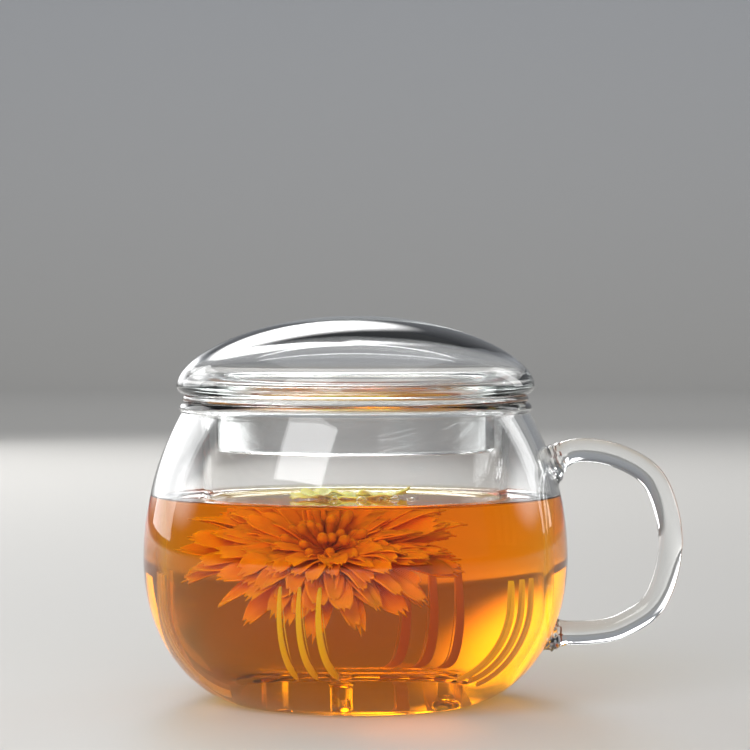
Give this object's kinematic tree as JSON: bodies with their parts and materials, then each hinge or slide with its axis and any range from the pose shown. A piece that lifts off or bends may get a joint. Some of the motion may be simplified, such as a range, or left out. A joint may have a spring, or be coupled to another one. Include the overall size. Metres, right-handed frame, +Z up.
{
  "type": "lidded tea mug with infuser",
  "caption": "Round-bellied clear glass tea mug with a bent-rod handle, a hanging slotted glass infuser and a loose mushroom-shaped glass lid.",
  "frame": {"origin": "centre of the mug's flat base, where it stands", "axes": "+Z up along the mug's axis, +X towards the handle"},
  "size_m": [0.128, 0.1006, 0.091],
  "materials": {
    "bowl_glass": "polished",
    "handle_glass": "polished",
    "weld_glass": "polished",
    "infuser_glass": "polished",
    "foot_glass": "polished",
    "lid_glass": "polished",
    "ring_glass": "polished",
    "tea": "clear amber liquid",
    "petals": "soft, wet"
  },
  "bodies": {
    "mug": {"mug_bowl": "bowl_glass", "handle_rod": "handle_glass", "upper_handle_weld": "weld_glass", "lower_handle_weld": "weld_glass"},
    "infuser": {"infuser_body": "infuser_glass", "infuser_foot_1": "foot_glass", "infuser_foot_2": "foot_glass", "infuser_foot_3": "foot_glass"},
    "lid": {"lid_cap": "lid_glass", "lid_ring": "ring_glass"}
  },
  "joints": [
    {"name": "infuser_lift", "type": "slide", "parent": "mug", "child": "infuser", "axis": [0, 0, 1], "range_m": [0, 0.09]},
    {"name": "lid_lift", "type": "slide", "parent": "infuser", "child": "lid", "axis": [0, 0, 1], "range_m": [0, 0.04]}
  ]
}
